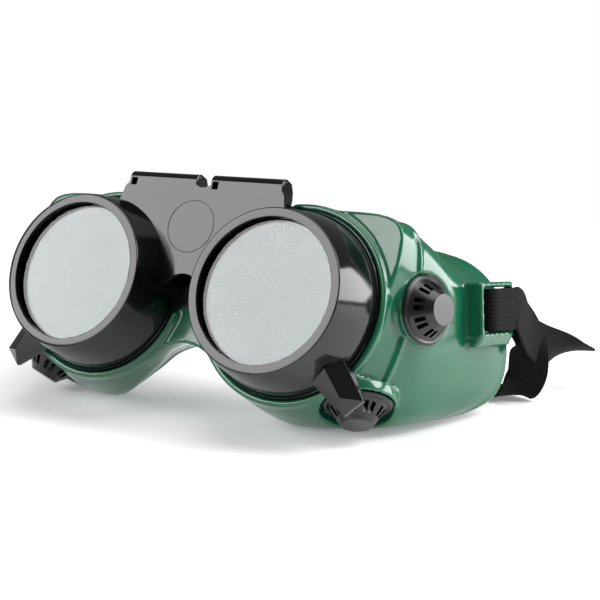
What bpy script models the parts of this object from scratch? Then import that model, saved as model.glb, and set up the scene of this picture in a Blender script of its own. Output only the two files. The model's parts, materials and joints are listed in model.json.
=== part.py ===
"""Flip-front welding goggles: a soft green mask with a hinged pair of dark-lens cups.

The goggles rest on the lower edge of the mask, so everything hangs on one empty that tips
the cups back by REST_TILT. In the tipped frame ("cup frame") X runs across the face, Y runs
from the front rims towards the wearer along the cup axes, and Z is up. Dimensions below are
in millimetres; build() turns them into metres.
"""

import math

import bmesh
import bpy
import numpy as np
from mathutils import Matrix, Vector

MM = 0.001
GAP = 0.3                      # clearance between pieces that touch
REST_TILT = math.radians(23.0)
REST_HEIGHT = 49.65            # cup axis midpoint above the surface it rests on
CENTRE_SHIFT_Y = -74.38        # moves the footprint's middle onto the origin

# Cups and lenses
CUP_X = 37.3                   # half the distance between the cup axes
LENS_R = 25.0                  # standard 50 mm round lens
SEAT_R = 25.3
RIM_R = 26.5
RIM_OPEN_R = 23.5
CUP_BACK_R = 30.7
CUP_DEPTH = 18.2
LIP_BACK_Y = 2.0
COVER_T = 1.5
SHADE_T = 3.0
CLEAR_T = 2.0
RING_ROUND = 36
DISC_ROUND = 32
VENT_ROUND = 18

# Fixed carrier between the mask and the flip front
FLANGE_Y0 = 18.5
FLANGE_Y1 = 20.1
FLANGE_R = 31.0
TUBE_R = 27.1
TUBE_BACK_Y = 28.6

# Hinge
PIN_Y = 15.75
PIN_Z = 34.5
PIN_R = 1.5
PIN_BORE_R = 1.6
KNUCKLE_R = 2.8
COVER_DEPTH = 4.25
COVER_WALL = 1.1
COVER_FLAT_Z = 36.8
COVER_TOP_R = 2.8
COVER_BACK_Y = 17.6
COVER_HALF_X = 30.2
COVER_GAP_HALF_X = 3.0
PLATE_Y0 = PIN_Y - COVER_DEPTH
PLATE_Y1 = PLATE_Y0 + 1.8

# Mask shell
WALL = 2.2
FRONT_Y = 20.4
COLLAR_R = 33.3
HOLE_R = 27.4

# Ventilation caps: name, centre, outward direction, height of the wall round the seat
VENT_R = 11.4
VENT_HOLE_R = 7.2
VENT_H = 8.2
PIP = (50.0, 27.0, 33.0)
PIP_R = 1.6
VENTS = (
    ("side", (76.3, 35.4, 5.6), (0.953, -0.30, 0.04), 0.3),
    ("bottom", (61.2, 31.6, -26.7), (0.28, -0.22, -0.934), 1.2),
)

# Strap and the loops it passes through
STRAP_W = 14.0
STRAP_T = 1.2
LUG_CENTRE = (89.6, 63.4, 13.5)
LUG_ALONG = (0.15, 0.953, 0.265)
LUG_UP = (-0.12, -0.36, 0.92)
LUG_HALF_L = 10.8
LUG_HALF_H = 9.3
LUG_BAR = 1.9
LUG_T = 2.4


# ---------------------------------------------------------------- shared helpers

def cup_to_bench(point):
    """A cup-frame point in the upright frame that stands on the bench, millimetres."""
    x, y, z = point
    c, s = math.cos(REST_TILT), math.sin(REST_TILT)
    return Vector((x, y * c + z * s, -y * s + z * c + REST_HEIGHT))


def bench_to_cup(point):
    """The reverse of cup_to_bench."""
    x, y, z = point
    c, s = math.cos(REST_TILT), math.sin(REST_TILT)
    z = z - REST_HEIGHT
    return Vector((x, y * c - z * s, y * s + z * c))


def material(name, colour, roughness, metallic=0.0, transmission=0.0):
    made = bpy.data.materials.get(name) or bpy.data.materials.new(name)
    made.use_nodes = True
    shader = made.node_tree.nodes["Principled BSDF"]
    shader.inputs["Base Color"].default_value = (*colour, 1.0)
    shader.inputs["Roughness"].default_value = roughness
    shader.inputs["Metallic"].default_value = metallic
    shader.inputs["Transmission Weight"].default_value = transmission
    return made


def smooth_path(keys, per_span, closed):
    """Points on a Catmull-Rom curve through the keys."""
    keys = np.array(keys, float)
    count = len(keys)
    spans = count if closed else count - 1
    found = []
    for i in range(spans):
        if closed:
            a, b, c, d = (keys[(i + k) % count] for k in (-1, 0, 1, 2))
        else:
            a, b, c, d = (keys[min(max(i + k, 0), count - 1)] for k in (-1, 0, 1, 2))
        for t in np.arange(per_span) / per_span:
            found.append(0.5 * (2 * b + (c - a) * t + (2 * a - 5 * b + 4 * c - d) * t**2
                                + (3 * b - a - 3 * c + d) * t**3))
    if not closed:
        found.append(keys[-1])
    return np.array(found)


def loft(rings, closed=False):
    """A bmesh through rings of points; the first and last rings are capped unless closed."""
    bm = bmesh.new()
    rows = [[bm.verts.new(p) for p in ring] for ring in rings]
    count = len(rows[0])
    spans = len(rows) if closed else len(rows) - 1
    for i in range(spans):
        low, high = rows[i], rows[(i + 1) % len(rows)]
        for j in range(count):
            k = (j + 1) % count
            bm.faces.new((low[j], low[k], high[k], high[j]))
    if not closed:
        bm.faces.new(rows[0])
        bm.faces.new(rows[-1])
    bmesh.ops.recalc_face_normals(bm, faces=bm.faces)
    return bm


def lathe(profile, x, z=0.0, steps=RING_ROUND, phase=0.0):
    """A ring or disc turned about the Y axis through (x, z); the profile is (radius, y)."""
    bm = bmesh.new()
    hollow = all(r > 1e-6 for r, _ in profile)
    ring_verts = []
    for r, y in profile:
        if r <= 1e-6:
            ring_verts.append([bm.verts.new((x, y, z))])
            continue
        angles = [2 * math.pi * (k + phase) / steps for k in range(steps)]
        ring_verts.append([bm.verts.new((x + r * math.cos(a), y, z + r * math.sin(a)))
                           for a in angles])
    pairs = len(profile) if hollow else len(profile) - 1
    for i in range(pairs):
        low, high = ring_verts[i], ring_verts[(i + 1) % len(profile)]
        for j in range(steps):
            k = (j + 1) % steps
            corners = [low[j % len(low)], low[k % len(low)],
                       high[k % len(high)], high[j % len(high)]]
            corners = list(dict.fromkeys(corners))
            if len(corners) > 2:
                bm.faces.new(corners)
    bmesh.ops.recalc_face_normals(bm, faces=bm.faces)
    return bm


def prism(outline, axis, low, high):
    """An outline of two coordinates drawn out along an axis; x, y or z is left out of it."""
    def place(pair, value):
        rest = iter(pair)
        return [value if letter == axis else next(rest) for letter in "xyz"]
    rings = [[place(pair, value) for pair in outline] for value in (low, high)]
    return loft(rings)


def hull(points):
    bm = bmesh.new()
    for point in points:
        bm.verts.new(point)
    result = bmesh.ops.convex_hull(bm, input=bm.verts)
    inner = [v for v in result["geom_interior"] if isinstance(v, bmesh.types.BMVert)]
    bmesh.ops.delete(bm, geom=inner, context="VERTS")
    bmesh.ops.recalc_face_normals(bm, faces=bm.faces)
    return bm


def rod(start, end, radius, steps=16):
    start, end = Vector(start), Vector(end)
    bm = bmesh.new()
    bmesh.ops.create_cone(bm, cap_ends=True, segments=steps, radius1=radius, radius2=radius,
                          depth=(end - start).length)
    turn = (end - start).to_track_quat("Z", "Y").to_matrix().to_4x4()
    bmesh.ops.transform(bm, verts=bm.verts, matrix=Matrix.Translation((start + end) / 2) @ turn)
    return bm


def turned_to(bm, centre, outward):
    """Moves a shape built about the +Z axis so that it stands on centre along outward."""
    turn = Vector(outward).to_track_quat("Z", "Y").to_matrix().to_4x4()
    bmesh.ops.transform(bm, verts=bm.verts, matrix=Matrix.Translation(centre) @ turn)
    return bm


def mirrored(bm):
    copy = bm.copy()
    bmesh.ops.scale(copy, vec=(-1, 1, 1), verts=copy.verts)
    bmesh.ops.reverse_faces(copy, faces=copy.faces)
    return copy


def bare_object(name, bm):
    bmesh.ops.triangulate(bm, faces=[f for f in bm.faces if len(f.verts) > 4])
    mesh = bpy.data.meshes.new(name)
    bm.to_mesh(mesh)
    bm.free()
    made = bpy.data.objects.new(name, mesh)
    bpy.context.scene.collection.objects.link(made)
    return made


def combine(target, bm, operation):
    """Joins a shape to the target object, or cuts it out, and keeps the result as its mesh."""
    tool = bare_object("tool", bm)
    modifier = target.modifiers.new("combine", "BOOLEAN")
    modifier.operation = operation
    modifier.solver = "MANIFOLD"  # EXACT drops the shell where a vent seat grazes the collar
    modifier.object = tool
    bpy.context.view_layer.update()
    graph = bpy.context.evaluated_depsgraph_get()
    mesh = bpy.data.meshes.new_from_object(target.evaluated_get(graph))
    target.modifiers.remove(modifier)
    old = target.data
    target.data = mesh
    mesh.name = target.name
    bpy.data.meshes.remove(old)
    bpy.data.objects.remove(tool)


def build(name, bm, finish, parent, joins=(), cuts=()):
    made = bare_object(name, bm)
    for shape in joins:
        combine(made, shape, "UNION")
    for shape in cuts:
        combine(made, shape, "DIFFERENCE")
    made.data.transform(Matrix.Scale(MM, 4))
    made.data.materials.clear()
    made.data.materials.append(finish)
    made.data.shade_smooth()
    made.data.set_sharp_from_angle(angle=math.radians(32))
    made.parent = parent
    return made


def on_pivot(made, pivot):
    """Moves a piece's mesh so that its parent empty, on the hinge axis, carries it in place."""
    made.data.transform(Matrix.Translation(-pivot.location))
    made.parent = pivot


# ---------------------------------------------------------------- the mask

def shell_keys():
    """Half outlines from the top middle round to the nose, front edge to face edge."""
    front = [(0, 32.2), (34, 32.2), (61, 32.2), (70.3, 28.2), (71.6, 17.5), (69.4, 4),
             (66.6, -9.6), (61.2, -22.5), (51, -30.4), (37.3, -33.3), (24, -30.5),
             (13.5, -24), (8, -19), (0, -17)]
    front = [(x, FRONT_Y, z) for x, z in front]
    second = [(0, 26, 32.2), (33.5, 26.5, 32.2), (60.5, 27.5, 31.6), (71.5, 28, 28.6),
              (74.9, 30, 17.8), (74.1, 31, 4.5), (72.2, 31, -10), (68, 30.5, -23.2),
              (58, 29.5, -31.2), (42, 29, -35.4), (27.5, 28, -33.6), (16.0, 27, -25),
              (9.0, 26, -19), (0, 25.5, -16.5)]
    middle = [(0, 33, 32), (33, 34, 31.8), (60, 36, 30.2), (73, 39, 27.2),
              (79.5, 43, 17.6), (80, 45, 5), (79.6, 45, -10), (77, 45, -24.4),
              (66.5, 43, -32.3), (46, 40, -36.3), (31.5, 37, -35.6), (18.5, 34, -25.5),
              (11, 31.5, -18.5), (0, 30.5, -15.5)]
    rear = [(0, 41, 32), (30, 43, 31.6), (57, 50.5, 29.0), (73.6, 56, 25.0),
            (83.6, 61, 17.9), (86.6, 66, 6), (87, 68, -7), (85.2, 66, -17.2),
            (76.5, 58, -26.6), (59, 49, -32.2), (40, 43, -35), (24.5, 40, -26),
            (13.5, 37.5, -17.5), (0, 36.5, -14)]
    lip = [(0, 47, 33.4), (29, 49.5, 33.2), (56, 58, 31.6), (75, 68, 29.6),
           (86, 74, 20), (89.2, 79.5, 6), (89.6, 81, -7), (86.8, 76.5, -16.2),
           (77.5, 66, -24.4), (60, 54.5, -30), (39.5, 48, -32.9), (25.5, 44.5, -25),
           (14.5, 42, -17), (0, 41, -13)]
    return front, second, middle, rear, lip


def whole_outline(half, per_span):
    """A half outline mirrored into a closed smooth loop."""
    far = [(-x, y, z) for x, y, z in reversed(half[1:-1])]
    return smooth_path(half + far, per_span, closed=True)


def surface_normals(rows):
    """Outward unit normals of a grid of rows round the shell."""
    grid = np.array(rows)
    along = np.roll(grid, -1, axis=1) - np.roll(grid, 1, axis=1)
    back = np.gradient(grid, axis=0)
    normal = np.cross(along, back)
    normal /= np.linalg.norm(normal, axis=2, keepdims=True)
    if (normal[:, :, 0] * grid[:, :, 0]).sum() < 0:
        normal = -normal
    return normal


def shell_rows(per_span, rows_per_span):
    """Outer rows of the shell from the front edge to the face edge."""
    stations = np.array([whole_outline(half, per_span) for half in shell_keys()])
    rows = []
    for j in range(stations.shape[1]):
        rows.append(smooth_path(stations[:, j], rows_per_span, closed=False))
    return np.array(rows).transpose(1, 0, 2)


def shell_solid(per_span=2, rows_per_span=2):
    outer = shell_rows(per_span, rows_per_span)
    normal = surface_normals(outer)
    inner = outer - WALL * normal
    inner[0] = outer[0] - WALL * normal[1]
    inner[0, :, 1] = FRONT_Y + WALL
    inner[1:, :, 1] = np.maximum(inner[1:, :, 1], FRONT_Y + WALL + 0.2)
    rings = [list(row) for row in outer] + [list(row) for row in inner[::-1]]
    return loft(rings)


def collar(side):
    """The raised green band round a cup."""
    profile = [(FLANGE_R + GAP, 18.7), (COLLAR_R, 18.7), (COLLAR_R + 0.4, 21.5),
               (FLANGE_R + GAP, 21.5)]
    return lathe(profile, side * CUP_X)


def lug_axes():
    """Centre and directions of the right strap loop: along the strap, up, and outward."""
    centre = Vector(LUG_CENTRE)
    along = Vector(LUG_ALONG).normalized()
    up = Vector(LUG_UP)
    up = (up - along * up.dot(along)).normalized()
    return centre, along, up, along.cross(up) if along.cross(up).x > 0 else up.cross(along)


def lug_point(a, u, o):
    centre, along, up, out = lug_axes()
    return centre + along * a + up * u + out * o


def lug_frame():
    """The rectangular loop: an outline with a window, turned up out of four corner points."""
    def corners(half_l, half_h, o):
        return [lug_point(a * half_l, u * half_h, o)
                for a, u in ((-1, -1), (1, -1), (1, 1), (-1, 1))]
    l, h, b, t = LUG_HALF_L, LUG_HALF_H, LUG_BAR, LUG_T / 2
    return loft([corners(l, h, -t), corners(l, h, t), corners(l - b, h - b, t),
                 corners(l - b, h - b, -t)], closed=True)


def lug_web():
    """Post that joins the front bar of the loop to the mask wall."""
    front, half_h = -LUG_HALF_L, LUG_HALF_H - 0.2
    return hull([lug_point(a, u, o) for a in (front + 0.15, front + LUG_BAR - 0.15)
                 for u in (-half_h, half_h) for o in (-6.0, LUG_T / 2 - 0.3)])


def lug_foot():
    """Wedge under the loop, from its lower bar in to the mask."""
    l, h, face = LUG_HALF_L - 0.3, LUG_HALF_H - 0.3, LUG_T / 2 - 0.2
    return hull([lug_point(a, -u, o) for a, u, o in (
        (-l, h, face), (l, h, face), (-l, h + 3.4, -1.5), (l, h + 3.6, -0.5),
        (-l, h, -5.5), (l - 3.0, h, -5.5), (-l, h + 3.0, -5.5), (l - 4.0, h + 3.0, -5.5))])


def mask_body(parent):
    cuts = []
    joins = []
    right_edge = [(10.2, -7.2), (12.6, 7.6), (27.6, 21.5), (31.3, 21.5), (31.3, 40)]
    left_edge = [(-x, z) for x, z in reversed(right_edge)]
    cuts.append(prism(right_edge + left_edge, "y", 15, FRONT_Y - 0.1))
    for side in (-1, 1):
        joins.append(collar(side))
        cuts.append(rod((side * CUP_X, 10, 0), (side * CUP_X, 30, 0), HOLE_R, RING_ROUND))
        clear_y = FLANGE_Y1 + 0.2
        cuts.append(rod((side * CUP_X, 10, 0), (side * CUP_X, clear_y, 0), FLANGE_R + 0.15,
                        RING_ROUND))
        for _, centre, outward, wall_h in VENTS:
            centre = Vector((side * centre[0], centre[1], centre[2]))
            outward = Vector((side * outward[0], outward[1], outward[2])).normalized()
            seat = centre + outward * 0.3
            joins.append(rod(centre - outward * 2.8, centre + outward * wall_h, VENT_R + 1.6, 28))
            cuts.append(rod(seat, centre + outward * 12, VENT_R + 0.5, 28))
            cuts.append(rod(centre - outward * 9, centre + outward * 6, VENT_HOLE_R, 20))
        x, y, z = PIP
        joins.append(rod((side * x, y, z - 3.0), (side * x, y, z), PIP_R, 12))
        for shape in (lug_frame(), lug_web(), lug_foot()):
            joins.append(shape if side > 0 else mirrored(shape))
    body = build("goggle_body", shell_solid(), GREEN, parent, joins, cuts)
    return body


def vent_cap(parent, name, side, centre, outward):
    """A push-in cap: bead, cone, round button on the outside and a hollow stem inside."""
    stem_r = VENT_HOLE_R - GAP
    profile = [(0, VENT_H), (5.4, VENT_H), (9.8, 1.7), (VENT_R - 0.4, 1.9), (VENT_R, 0.6),
               (stem_r, 0.6), (stem_r, -3.4), (stem_r - 1.2, -3.4), (stem_r - 1.2, 1.0),
               (4.0, VENT_H - 1.8), (0, VENT_H - 1.8)]
    bm = lathe([(r, -h) for r, h in profile], 0.0, 0.0, VENT_ROUND)
    turn = Matrix.Rotation(math.radians(-90), 4, "X")
    bmesh.ops.transform(bm, verts=bm.verts, matrix=turn)
    bmesh.ops.recalc_face_normals(bm, faces=bm.faces)
    centre = Vector((side * centre[0], centre[1], centre[2]))
    outward = Vector((side * outward[0], outward[1], outward[2])).normalized()
    turned_to(bm, centre, outward)
    letter = "R" if side > 0 else "L"
    return build(f"vent_cap_{name}_{letter}", bm, BLACK, parent)


# ---------------------------------------------------------------- fixed lens carrier

def arm_outline():
    """Side view (y, z) of the arm that holds the hinge pin in front of the carrier plate."""
    return [(14.4, PIN_Z), (14.4, 28.5), (FLANGE_Y0 + 0.2, 25.5), (FLANGE_Y1 - 0.2, 25.5),
            (FLANGE_Y1 - 0.2, 28.6), (17.1, 30.8), (17.1, PIN_Z)]


def lens_carrier(parent):
    web = [(-27, 30.2), (-27, 22), (-12, 8), (-9.5, -4), (-6.5, -6.5), (0, -4.0), (6.5, -6.5),
           (9.5, -4), (12, 8), (27, 22), (27, 30.2)]
    joins = []
    cuts = []
    disc_y = (FLANGE_Y0, FLANGE_Y1)
    for side in (-1, 1):
        x = side * CUP_X
        joins.append(rod((x, disc_y[0], 0), (x, disc_y[1], 0), FLANGE_R, RING_ROUND))
        joins.append(rod((x, disc_y[1] - 0.7, 0), (x, TUBE_BACK_Y, 0), TUBE_R, RING_ROUND))
        inner = [(0, 17), (23.3, 17), (23.3, 19.9), (SEAT_R, 19.9), (SEAT_R, 30), (0, 30)]
        cuts.append(lathe(inner, x, phase=0.5))
        knuckle = (side * 8.0, side * 26.4)
        joins.append(rod((knuckle[0], PIN_Y, PIN_Z), (knuckle[1], PIN_Y, PIN_Z), KNUCKLE_R, 20))
        low, high = sorted((side * 9.5, side * 19.5))
        joins.append(prism(arm_outline(), "x", low, high))
        cuts.append(rod((side * 6, PIN_Y, PIN_Z), (side * 28, PIN_Y, PIN_Z), PIN_BORE_R, 20))
    plate = prism(web, "y", disc_y[0] + 0.1, disc_y[1] - 0.1)
    return build("lens_carrier", plate, BLACK, parent, joins, cuts)


def ring_piece(name, side, inner_r, outer_r, y0, y1, finish, parent):
    profile = [(inner_r, y0), (outer_r, y0), (outer_r, y1), (inner_r, y1)]
    return build(name, lathe(profile, side * CUP_X, steps=DISC_ROUND), finish, parent)


def lens_piece(name, side, y0, thickness, finish, parent):
    disc = rod((side * CUP_X, y0, 0), (side * CUP_X, y0 + thickness, 0), LENS_R, DISC_ROUND)
    return build(name, disc, finish, parent)


# ---------------------------------------------------------------- flip front

def cup_outer_radius(y):
    return RIM_R + (CUP_BACK_R - RIM_R) * y / CUP_DEPTH


def cup_outside(side):
    profile = [(0, 0), (RIM_R - 0.3, 0), (RIM_R, 0.3), (cup_outer_radius(9), 9),
               (CUP_BACK_R, CUP_DEPTH), (0, CUP_DEPTH)]
    return lathe(profile, side * CUP_X)


def cup_inside(side):
    """Stepped bore: front opening, lens seat, then the flare over the carrier."""
    profile = [(0, -2), (RIM_OPEN_R, -2), (RIM_OPEN_R, LIP_BACK_Y), (SEAT_R, LIP_BACK_Y),
               (SEAT_R, 12.6), (28.6, 16.2), (29.0, CUP_DEPTH + 2), (0, CUP_DEPTH + 2)]
    return lathe(profile, side * CUP_X, phase=0.5)


def flip_plate():
    """Plate between the cups, with an arched notch over the nose."""
    notch_r, notch_z = 8.5, -3.7
    notch = []
    for k in range(13):
        a = math.radians(165 - 150 * k / 12)
        notch.append((notch_r * math.cos(a), notch_z + notch_r * math.sin(a)))
    outline = [(-30.0, PIN_Z + 1), (-31.6, 33.5), (-33.4, 26.0), (-25.0, 10.0), (-12.0, -2.5)]
    outline += notch
    outline += [(12.0, -2.5), (25.0, 10.0), (33.4, 26.0), (31.6, 33.5), (30.0, PIN_Z + 1),
                (COVER_GAP_HALF_X, PIN_Z + 1), (0.9, PIN_Z), (-0.9, PIN_Z),
                (-COVER_GAP_HALF_X, PIN_Z + 1)]
    return prism(outline, "y", PLATE_Y0, PLATE_Y1)


def cover_outline(inset, steps=6):
    """Front and top (y, z) of a hinge cover: a flat face that rounds over into the top."""
    radius = COVER_TOP_R - inset
    found = []
    for k in range(steps + 1):
        a = math.radians(180 - 90 * k / steps)
        found.append((PLATE_Y0 + COVER_TOP_R + radius * math.cos(a),
                      COVER_FLAT_Z + radius * math.sin(a)))
    found.append((COVER_BACK_Y, COVER_FLAT_Z + radius - 0.5))
    return found


def cover(side):
    """Cover over one hinge knuckle, open behind so that the arm stays clear."""
    foot = 32.0
    profile = [(PLATE_Y0, foot)] + cover_outline(0.0)
    profile += cover_outline(COVER_WALL)[::-1] + [(PLATE_Y0 + COVER_WALL, foot)]
    low, high = sorted((side * COVER_GAP_HALF_X, side * COVER_HALF_X))
    return prism(profile, "x", low, high)


def cheek(x0, x1, foot_z):
    """End wall of a hinge cover, which carries the pin."""
    outline = [(PLATE_Y0 + 0.1, foot_z)] + cover_outline(0.1)
    outline += [(19.3, 36.8), (19.9, 34.5), (19.9, 32.4), (18.05, 31.0), (18.05, foot_z)]
    low, high = sorted((x0, x1))
    return prism(outline, "x", low, high)


def lift_tab(side):
    """Faceted finger tab on the lower outer side of a cup."""
    root_r, tip_r = 27.5, 43.0
    angle = math.radians(-45)
    radial = Vector((math.cos(angle), 0, math.sin(angle)))
    across = Vector((-math.sin(angle), 0, math.cos(angle)))
    centre = Vector((CUP_X, 0, 0))
    points = []
    for half in (-1, 1):
        points.append(centre + radial * root_r + across * 7.0 * half + Vector((0, 17.9, 0)))
        points.append(centre + radial * root_r + across * 6.6 * half + Vector((0, 13.5, 0)))
        points.append(centre + radial * tip_r + across * 3.9 * half + Vector((0, 17.9, 0)))
        points.append(centre + radial * tip_r + across * 3.9 * half + Vector((0, 16.2, 0)))
    points.append(centre + radial * root_r + across * 1.0 + Vector((0, 9.5, 0)))
    points.append(centre + radial * 39.0 - across * 0.9 + Vector((0, 12.6, 0)))
    shape = hull(points)
    return shape if side > 0 else mirrored(shape)


def window_cut(x):
    """Small square window at the left end of a hinge cover."""
    return prism([(x, 34.1), (x + 2.4, 34.1), (x + 2.4, 36.8), (x, 36.8)], "y",
                 PLATE_Y0 - 2, PIN_Y - PIN_R - 0.35)


def flip_frame(parent):
    joins, cuts = [], []
    for side in (-1, 1):
        joins.append(cup_outside(side))
        joins.append(lift_tab(side))
        joins.append(cover(side))
        joins.append(cheek(side * 28.0, side * COVER_HALF_X, 26.5))
        joins.append(cheek(side * COVER_GAP_HALF_X, side * 5.0, 31.0))
        cuts.append(cup_inside(side))
        low, high = sorted((side * 5.0, side * 28.0))
        cuts.append(rod((low, PIN_Y, PIN_Z), (high, PIN_Y, PIN_Z), KNUCKLE_R + 0.5, 20))
    cuts.append(rod((-29.2, PIN_Y, PIN_Z), (29.2, PIN_Y, PIN_Z), PIN_BORE_R, 20))
    cuts.append(window_cut(-29.5))
    cuts.append(window_cut(3.6))
    frame = build("flip_frame", flip_plate(), BLACK, None, joins, cuts)
    on_pivot(frame, parent)
    return frame


# ---------------------------------------------------------------- strap

def strap_half_route():
    """Right half of the strap in the bench frame: centre points and width directions."""
    route = [
        ((0, 152, 0.8), (0, 1, 0)),
        ((26, 148, 0.8), (0.3, 1, 0)),
        ((50, 133, 0.8), (0.6, 0.8, 0)),
        ((66, 109, 0.8), (0.75, 0.66, 0)),
        ((79, 92, 0.9), (0.6, 0.8, 0)),
        ((88.5, 87, 3.0), (0.80, 0.58, 0.05)),
        ((93.0, 87.5, 9.0), (0.90, 0.40, 0.12)),
        ((93.9, 87.0, 17), (0.75, 0.38, 0.55)),
        ((93.7, 85.4, 25.4), (0.1, 0.4, 0.93)),
    ]
    centre, along, up, out = lug_axes()
    up_b = cup_to_bench(centre + up) - cup_to_bench(centre)
    around = [(15.0, -2.3), (9.5, -2.15), (0.0, -2.15), (-4.2, -1.9), (-5.8, 0.0),
              (-4.2, 2.1), (1.0, 2.4), (8.0, 2.5), (12.0, 2.4)]
    for a, o in around:
        route.append((tuple(cup_to_bench(centre + along * a + out * o)), tuple(up_b)))
    route.append(((94.6, 80.0, 29.5), (-0.1, 0.6, 0.8)))
    route.append(((95.6, 85.0, 24.3), (0.0, 0.6, 0.8)))
    route.append(((97.3, 92.0, 20.4), (0.2, 0.35, 0.9)))
    route.append(((99.3, 101, 17.4), (0.5, 0.15, 0.8)))
    route.append(((100.6, 110, 15.2), (0.85, 0.0, 0.45)))
    route.append(((101.6, 119, 13.7), (1.0, -0.1, 0.1)))
    return route


def strap_stations(per_span):
    right = strap_half_route()
    left = [((-p[0], p[1], p[2]), (-w[0], w[1], w[2])) for p, w in reversed(right[1:])]
    both = left + right
    centres = smooth_path([p for p, _ in both], per_span, closed=False)
    widths = smooth_path([w for _, w in both], per_span, closed=False)
    return centres, widths


def ribbon(centres, widths, width, thickness):
    """A flat band with rectangular section along the centres."""
    centres, widths = np.array(centres), np.array(widths)
    tangent = np.gradient(centres, axis=0)
    tangent /= np.linalg.norm(tangent, axis=1, keepdims=True)
    across = widths - (widths * tangent).sum(axis=1, keepdims=True) * tangent
    across /= np.linalg.norm(across, axis=1, keepdims=True)
    face = np.cross(tangent, across)
    rings = []
    for p, w, n in zip(centres, across, face):
        rings.append([p + w * width / 2 * a + n * thickness / 2 * b
                      for a, b in ((-1, -1), (1, -1), (1, 1), (-1, 1))])
    return loft(rings)


def head_strap(parent):
    centres, widths = strap_stations(3)
    centres = np.array([bench_to_cup(p) for p in centres])
    zero = bench_to_cup((0, 0, 0))
    widths = np.array([bench_to_cup(w) - zero for w in widths])
    return build("head_strap", ribbon(centres, widths, STRAP_W, STRAP_T), WEBBING, parent)


# ---------------------------------------------------------------- assembly

for old in list(bpy.data.objects):
    bpy.data.objects.remove(old, do_unlink=True)

GREEN = material("green_pvc", (0.012, 0.13, 0.055), 0.18)
BLACK = material("black_plastic", (0.012, 0.012, 0.013), 0.2)
SHADE_GLASS = material("shade_glass", (0.62, 0.68, 0.69), 0.08, metallic=0.7)
CLEAR_GLASS = material("clear_glass", (0.95, 0.97, 0.97), 0.02, transmission=0.9)
RUBBER = material("gasket_rubber", (0.02, 0.02, 0.02), 0.7)
STEEL = material("pin_steel", (0.6, 0.6, 0.62), 0.3, metallic=1.0)
WEBBING = material("black_webbing", (0.015, 0.015, 0.016), 0.85)

goggles = bpy.data.objects.new("goggles", None)
goggles.rotation_euler = (-REST_TILT, 0, 0)
goggles.location = (0, CENTRE_SHIFT_Y * MM, REST_HEIGHT * MM)
bpy.context.scene.collection.objects.link(goggles)

pivot = bpy.data.objects.new("flip_hinge", None)
pivot.location = (0, PIN_Y * MM, PIN_Z * MM)
pivot.parent = goggles
bpy.context.scene.collection.objects.link(pivot)

mask_body(goggles)
lens_carrier(goggles)
flip_frame(pivot)
build("hinge_pin", rod((-29.0, PIN_Y, PIN_Z), (29.0, PIN_Y, PIN_Z), PIN_R, 20), STEEL, goggles)

for side, letter in ((-1, "L"), (1, "R")):
    x0, x1 = sorted((side * 26.7, side * 27.7))
    washer = rod((x0, PIN_Y, PIN_Z), (x1, PIN_Y, PIN_Z), 2.7, 20)
    bore = rod((x0 - 1, PIN_Y, PIN_Z), (x1 + 1, PIN_Y, PIN_Z), PIN_BORE_R, 20)
    build(f"hinge_spring_washer_{letter}", washer, STEEL, goggles, cuts=[bore])

    y = LIP_BACK_Y + GAP
    on_pivot(lens_piece(f"cover_lens_{letter}", side, y, COVER_T, CLEAR_GLASS, None), pivot)
    y += COVER_T + GAP
    on_pivot(lens_piece(f"shade_lens_{letter}", side, y, SHADE_T, SHADE_GLASS, None), pivot)
    y += SHADE_T + GAP
    on_pivot(ring_piece(f"cup_gasket_{letter}", side, 22.8, LENS_R, y, y + 1.0, RUBBER, None),
             pivot)
    y += 1.0 + GAP
    on_pivot(ring_piece(f"cup_ring_{letter}", side, 22.4, LENS_R, y, y + 3.6, BLACK, None),
             pivot)

    y = FLANGE_Y1 + 0.1
    ring_piece(f"clear_gasket_{letter}", side, 23.2, LENS_R, y, y + 0.9, RUBBER, goggles)
    y += 0.9 + GAP
    lens_piece(f"clear_lens_{letter}", side, y, CLEAR_T, CLEAR_GLASS, goggles)
    y += CLEAR_T + GAP
    ring_piece(f"clear_ring_{letter}", side, 22.6, LENS_R, y, y + 3.4, BLACK, goggles)

    for vent, centre, outward, _ in VENTS:
        vent_cap(goggles, vent, side, centre, outward)

head_strap(goggles)
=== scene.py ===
"""Looks of the flip-front welding goggles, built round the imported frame.

Lengths are millimetres in the cup frame of the CAD: X across the face, Y from the lens rims
towards the wearer, Z up. The cup frame is tipped back by REST_TILT and hangs on the hinge.
"""

import json
import math

import bmesh
import bpy
import numpy as np
from mathutils import Matrix, Vector


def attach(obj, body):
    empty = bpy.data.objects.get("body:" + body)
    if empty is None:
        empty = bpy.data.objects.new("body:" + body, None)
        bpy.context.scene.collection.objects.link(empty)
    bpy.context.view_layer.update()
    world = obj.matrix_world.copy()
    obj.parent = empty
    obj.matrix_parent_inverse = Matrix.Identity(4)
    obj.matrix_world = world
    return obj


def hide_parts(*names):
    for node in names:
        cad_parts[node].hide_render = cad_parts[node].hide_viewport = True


MM = 0.001
REST_TILT = math.radians(23.0)

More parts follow.
